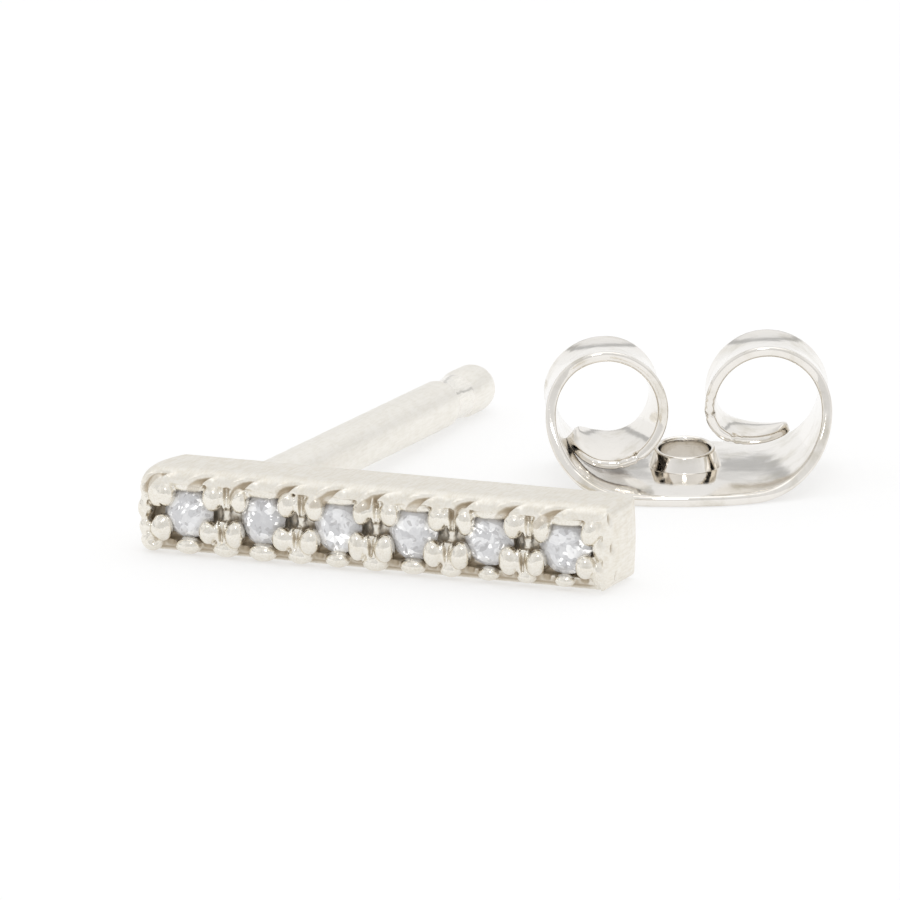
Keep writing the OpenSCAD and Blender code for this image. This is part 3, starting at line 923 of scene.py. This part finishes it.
def cutStone(number, chance):
    d, mains = stones["diameter"], 8
    half = math.pi / mains
    tableR, girdleR = d * stones["table"] / 2, d / 2
    topZ, midZ = d * (stones["girdle"] / 2 + stones["crown"]), d * stones["girdle"] / 2
    crownR, pavilionR = 0.4 * d, 0.2 * d
    crownZ = midZ + d * stones["crown"] * (girdleR - crownR * math.cos(half)) / (girdleR - tableR)
    pavilionZ = -midZ - d * stones["pavilion"] * (1 - pavilionR * math.cos(half) / girdleR)
    points = (facetRing(tableR, topZ, mains, 0) + facetRing(crownR, crownZ, mains, half)
              + facetRing(girdleR, midZ, 2 * mains, 0) + facetRing(girdleR, -midZ, 2 * mains, 0)
              + facetRing(pavilionR, pavilionZ, mains, half) + [Vector((0, 0, -midZ - d * stones["pavilion"]))])
    for p in points:
        p.x *= 1 - chance.random() * stones["jitter"]
        p.y *= 1 - chance.random() * stones["jitter"]
        p.z *= 1 - chance.random() * stones["jitter"] * 3
    name = "stone_%d" % number
    mesh = bpy.data.meshes.new(name)
    with edited(mesh) as form:
        corners = [form.verts.new(p) for p in points]
        bmesh.ops.convex_hull(form, input=corners)
        bmesh.ops.dissolve_limit(form, angle_limit=math.radians(1.2), verts=form.verts, edges=form.edges)
        bmesh.ops.triangulate(form, faces=[f for f in form.faces if len(f.verts) > 4])
        bmesh.ops.subdivide_edges(form, edges=form.edges[:], cuts=3, use_grid_fill=True)
        bmesh.ops.recalc_face_normals(form, faces=form.faces)
        turn = Matrix.Rotation(chance.random() * math.pi, 4, "Z")
        wide, high = stones["forms"][number - 1]
        bmesh.ops.transform(form, matrix=Matrix.Diagonal((wide, high, 1.0, 1.0)) @ turn, verts=form.verts)
    # the shade mark: where painted shade darkens the stone, near the girdle on its upper side
    spots = meshPoints(mesh)
    upper = spots[:, 1] / girdleR
    outer = np.hypot(spots[:, 0], spots[:, 1] + stones["shadeDrop"]) / girdleR
    storeMark(mesh, "shade", smoothStep(outer, 0.78, 0.92) * smoothStep(upper, 0.0, 0.4))
    x = stones["pitch"] * (number - (stones["count"] + 1) / 2)
    place = (studPlace @ Matrix.Translation((x, stones["sink"] - bar["depth"], bar["height"] / 2))
             @ Matrix.Rotation(math.pi / 2, 4, "X"))
    finishPiece(newObject(name, mesh), "cut_" + name, place, greyStone, "stone", name)


chance = random.Random(stones["seed"])
for number in range(1, stones["count"] + 1):
    cutStone(number, chance)

# The friction nut: one strip, wide in the middle, rolled into a scroll at each end
nut = {
    "turn": math.radians(23),
    "thickness": 0.19,
    "edgeRound": 0.06,
    "plateDepth": 4.35,
    "left": {"width": 1.35, "flat": 1.13, "arcs": [(90, 1.31), (180, 1.025), (143, 0.96)], "cone": 0.2,
             "bitten": (0.83, 0.9)},
    "right": {"width": 1.5, "flat": 1.19, "arcs": [(90, 1.35), (180, 1.06), (75, 0.6), (37, 1.6)],
              "cone": 0.06, "bitten": (0.72, 0.9)},
    "step": 0.035,
    "across": 44,
    "corner": 4,
    "domeHeight": 0.03,
    "domeRadius": 0.85,
    "bow": 0.062,
    "ringBow": 0.045,
    "bore": 0.47,
    "uneven": 0.0035,
    "tip": 0.18,
    "teeth": 0.1,
    "toothPitch": 0.13,
    "sharpAngle": math.radians(42),
    "hollowBlur": 6, "hollowDepth": 0.05, "creviceReach": 0.9,
}
# share of the run, share of the way from strip to plate width, share of the full thickness
plateForm = [(0, 1, 1), (0.08, 0.97, 1), (0.12, 0.92, 1), (0.16, 0.84, 1), (0.22, 0.68, 1), (0.28, 0.5, 1),
             (0.34, 0.3, 1), (0.4, 0.13, 1), (0.46, 0.03, 1), (0.55, 0, 1), (0.75, 0, 1)]
nut["left"]["form"] = plateForm + [(0.85, 0.1, 0.9), (0.93, 0.1, 0.8), (0.97, -0.04, 0.7), (1, -0.28, 0.6)]
nut["right"]["form"] = plateForm + [(0.86, -0.05, 0.9), (0.92, -0.16, 0.8), (0.96, -0.26, 0.7),
                                    (1, -0.42, 0.6)]
nutPlace = (Matrix.Translation((mounts["nut_hole"]["pos_m"][0] / mm, mounts["nut_hole"]["pos_m"][1] / mm, 0))
            @ Matrix.Rotation(nut["turn"], 4, "Z"))


# Path of one half: (along, up, heading, run)
def scrollPath(side):
    path = []
    count = round(side["flat"] / nut["step"])
    for i in range(count + 1):
        run = side["flat"] * i / count
        path.append((run, nut["thickness"] / 2, 0.0, run))
    for degrees, radius in side["arcs"]:
        along, up, heading, run = path[-1]
        centre = (along - radius * math.sin(heading), up + radius * math.cos(heading))
        count = round(math.radians(degrees) * radius / nut["step"])
        for i in range(1, count + 1):
            h = heading + math.radians(degrees) * i / count
            path.append((centre[0] + radius * math.sin(h), centre[1] - radius * math.cos(h), h,
                         run + radius * (h - heading)))
    return path


# Outline of a section as (across, through) with rounded corners
def stripSection(width, thickness):
    r = min(nut["edgeRound"], thickness * 0.45)
    outline = []
    for sideV, sideN, start in ((1, -1, -90), (1, 1, 0), (-1, 1, 90), (-1, -1, 180)):
        for k in range(nut["corner"] + 1):
            angle = math.radians(start + 90 * k / nut["corner"])
            outline.append((sideV * (width / 2 - r) + r * math.cos(angle),
                            sideN * (thickness / 2 - r) + r * math.sin(angle)))
        if sideV == sideN:
            for k in range(1, nut["across"]):
                outline.append((sideV * (width / 2 - r) * (1 - 2 * k / nut["across"]), sideN * thickness / 2))
    return outline


def foldedStrip():
    half = {}
    for name, sign in (("left", -1), ("right", 1)):
        side = nut[name]
        path = scrollPath(side)
        shares, spreads, thins = zip(*side["form"])
        runs = np.array([p[3] for p in path])
        share = runs / runs[-1]
        spread, thin = np.interp(share, shares, spreads), np.interp(share, shares, thins)
        for _ in range(6):
            for values in (spread, thin):
                values[1:-1] = (values[:-2] + 2 * values[1:-1] + values[2:]) / 4
        tip = np.sqrt(1 - (1 - np.clip((runs[-1] - runs) / nut["tip"], 0.02, 1)) ** 2)
        width = (side["width"] + (nut["plateDepth"] - side["width"]) * spread) * (0.45 + 0.55 * tip)
        cone = side["cone"] * smoothStep(share, 0.55, 0.8)
        bitten = (share > side["bitten"][0]) & (share < side["bitten"][1])
        nicks = noiseAt([(p[3] / nut["toothPitch"], 0, 0) for p in path], 1.0, 4)
        bite = nut["teeth"] * bitten * np.maximum(0, nicks)
        half[name] = [(sign * p[0], p[1], sign * p[2], sign * p[3], w, nut["thickness"] * t * min(1, 0.3 + k),
                       s, c, b)
                      for p, w, t, k, s, c, b in zip(path, width, thin, tip, spread, cone, bite)]
    sections = half["left"][:0:-1] + half["right"]
    points, faces = [], []
    for along, up, heading, run, width, thickness, spread, cone, bite in sections:
        for v, n in stripSection(width, thickness):
            if v < -width / 2 + 1.5 * nut["edgeRound"]:
                n -= math.copysign(bite, n)
            n += nut["domeHeight"] * max(0.0, 1 - (run ** 2 + v ** 2) / nut["domeRadius"] ** 2) ** 2
            n += nut["bow"] * spread * (1 - (2 * v / nut["plateDepth"]) ** 2) + cone * (v / width + 0.5)
            n += nut["ringBow"] * max(0.0, 1 - spread) * (1 - (2 * v / width) ** 2)
            points.append((along - n * math.sin(heading), v, up + n * math.cos(heading)))
    around = len(stripSection(1.0, 0.1))
    for row in range(len(sections) - 1):
        for k in range(around):
            a, b = row * around + k, row * around + (k + 1) % around
            faces.append((a, a + around, b + around, b))
    last = (len(sections) - 1) * around
    faces.append(tuple(range(around)))
    faces.append(tuple(last + k for k in range(around - 1, -1, -1)))
    return closedObject("strip", points, faces)


# Raised rim of the hole: a wall with a fillet at the plate, a round lip, and its top tilted to the front
collar = {
    "height": 0.6,
    "tilt": 0.15,
    "rim": 0.09,
    "foot": 0.05,
    "flare": 0.09,
    "around": 96,
    "inside": (0.03, 0.07),
    "unshaded": (0.8, 1.2),
}


def collarRing():
    r, top, foot, lip = nut["bore"], collar["height"], collar["foot"], collar["rim"] / 2
    floor = nut["thickness"] + nut["bow"]
    wide = r + collar["rim"] + collar["flare"]
    profile = [(wide + foot, floor - 0.1)]
    profile += [(wide + foot * (1 - math.sin(a)), floor - 0.02 + foot * (1 - math.cos(a)))
                for a in [math.pi / 2 * i / 8 for i in range(9)]]
    profile += [(r + lip + lip * math.cos(a), top - lip + lip * math.sin(a))
                for a in [math.pi * i / 10 for i in range(11)]]
    profile += [(r, top - lip - 0.08), (r, floor - 0.1), (r, floor - 0.16), (r + 0.02, floor - 0.17)]
    points, faces = lathe(profile, collar["around"], closed=True)
    points = [(x, y, z + y * collar["tilt"] * min(1.0, max(0.0, (z - floor) / (top - floor))))
              for x, y, z in points]
    return closedObject("collar", points, faces)


def earNut():
    strip = foldedStrip()
    drillMesh, drillRadius = bpy.data.meshes.new("drill"), nut["bore"] + 0.004
    with edited(drillMesh) as form:
        bmesh.ops.create_cone(form, cap_ends=True, segments=collar["around"], radius1=drillRadius,
                              radius2=drillRadius, depth=2.0)
    drill = newObject("drill", drillMesh)
    applyModifiers(strip, ("BOOLEAN", {"operation": "DIFFERENCE", "object": drill, "solver": "EXACT"}))
    bpy.data.objects.remove(drill)
    whole = joined("earNut", [strip, collarRing()])
    points, normals = meshPoints(whole.data), meshNormals(whole.data)
    bumps = noiseAt(points, 1.3, 9) + 0.25 * noiseAt(points, 5.0, 10)
    away = np.hypot(points[:, 0], points[:, 1])
    clear = smoothStep(away, nut["bore"] + 0.02, nut["bore"] + 0.3)
    points -= normals * (np.abs(bumps) * nut["uneven"] * clear)[:, None]
    points[:, 2] = np.maximum(points[:, 2], 0.0)
    setPoints(whole.data, points)
    markHollows(whole, nut["hollowBlur"], nut["hollowDepth"])
    markCrevices(whole.data, nut["creviceReach"])
    away = np.hypot(points[:, 0], points[:, 1])
    inner, outer = collar["inside"]
    # the painted crevice shade is left off round the outside of the collar
    unshaded = smoothStep(away, nut["bore"] + inner, nut["bore"] + outer)
    unshaded *= 1 - smoothStep(away, *collar["unshaded"])
    storeMark(whole.data, "crevice", readMark(whole.data, "crevice") * (1 - unshaded))
    smoothShaded(whole.data, nut["sharpAngle"])
    finishPiece(whole, "earNut", nutPlace, polishedNut, "polished_metal", "ear_nut")


earNut()

# Pale table under white surroundings, with a dark band low down behind and a greyer zenith, a large soft
# light above and a small one in front
studio = {
    "floorSize": 3.0,
    "floorColour": colour(0.45, 0.45, 0.45),
    "floorGlow": 0.56,
    "sky": [(0.0, 0.97), (0.192, 0.97), (0.205, 0.5), (0.262, 0.54), (0.285, 0.88), (0.6, 1.0), (1.0, 0.55)],
    "toward": (0.39, -0.92, 0.0),
    "front": 0.8,
    "frontSpan": (0.2, 0.95),
    "frontSky": colour(0.97, 0.97, 0.97),
    "frontSkySpan": (0.1, 0.4),
    "softboxSize": 0.2, "softboxPower": 0.09, "softboxAt": (0.0, 0.04, 0.24),
    "sparkSize": 0.035, "sparkPower": 0.028, "sparkAt": (0.06, -0.16, 0.17),
}


def softLamp(name):
    lamp = bpy.data.lights.new(name, "AREA")
    lamp.shape = "SQUARE"
    lamp.size = studio[name + "Size"]
    lamp.energy = studio[name + "Power"]
    lampObject = newObject(name, lamp)
    lampObject.location = studio[name + "At"]
    lampObject.rotation_euler = (-Vector(studio[name + "At"])).to_track_quat("-Z", "Y").to_euler()


def makeStudio():
    half = studio["floorSize"] / 2
    floor = newObject("floor", meshFrom("floor", [(-half, -half, 0), (half, -half, 0), (half, half, 0),
                                                  (-half, half, 0)], [(0, 1, 2, 3)]))
    material, graph, where = newMaterial("paper")
    fibre = graph.clouds(where, 2.0, 3.0)
    graph.shade({
        "Base Color": studio["floorColour"], "Roughness": graph.span(fibre, 0.3, 0.7, 0.8, 0.9),
        "Specular IOR Level": 0.2, "Emission Color": colour(1, 1, 1), "Emission Strength": studio["floorGlow"]})
    floor.data.materials.append(material)

    world = bpy.data.worlds.new("softWhite")
    bpy.context.scene.world = world
    world.use_nodes = True
    sky = Graph(world.node_tree)
    way = sky.add("ShaderNodeTexCoord", {}, {}, "Generated")
    height = sky.add("ShaderNodeSeparateXYZ", {}, {"Vector": way}, "Z")
    rise = sky.add("ShaderNodeValToRGB", {"stops": [(z, (v, v, v)) for z, v in studio["sky"]]}, {"Fac": height})
    toward = sky.dot(way, studio["toward"])
    front = sky.span(toward, *studio["frontSpan"], 1.0, studio["front"])
    rise = sky.colourMix(sky.span(toward, *studio["frontSkySpan"]), rise, studio["frontSky"])
    grey = sky.add("ShaderNodeCombineColor", {}, {"Red": front, "Green": front, "Blue": front})
    light = sky.colourMix(1.0, rise, grey, "MULTIPLY")
    sky.feed(world.node_tree.nodes["Background"], {"Color": light})

    softLamp("softbox")
    softLamp("spark")
    bpy.context.scene.view_settings.view_transform = "Standard"


makeStudio()

# The photograph's view, with places and lengths in millimetres and angles in degrees
camera = {
    "lookAt": (-1.498, 0.0186, 0.75),
    "distance": 170.0,
    "azimuth": 22.893,
    "elevation": 13.583,
    "roll": -0.593,
    "sensor": 36.0,
    "lens": 378.97,
}


def placeCamera():
    azimuth, elevation, roll = (math.radians(camera[k]) for k in ("azimuth", "elevation", "roll"))
    ahead = Vector((-math.sin(azimuth) * math.cos(elevation), math.cos(azimuth) * math.cos(elevation),
                    -math.sin(elevation)))
    right = Vector((math.cos(azimuth), math.sin(azimuth), 0))
    up = right.cross(ahead)
    turnedRight = right * math.cos(roll) + up * math.sin(roll)
    turnedUp = up * math.cos(roll) - right * math.sin(roll)
    data = bpy.data.cameras.new("photoView")
    data.sensor_width = camera["sensor"]
    data.lens = camera["lens"]
    data.clip_start, data.clip_end = 0.01, 20.0
    eye = newObject("photoView", data)
    place = Matrix((turnedRight, turnedUp, -ahead)).transposed().to_4x4()
    place.translation = (Vector(camera["lookAt"]) - ahead * camera["distance"]) * mm
    eye.matrix_world = place
    bpy.context.scene.camera = eye


placeCamera()
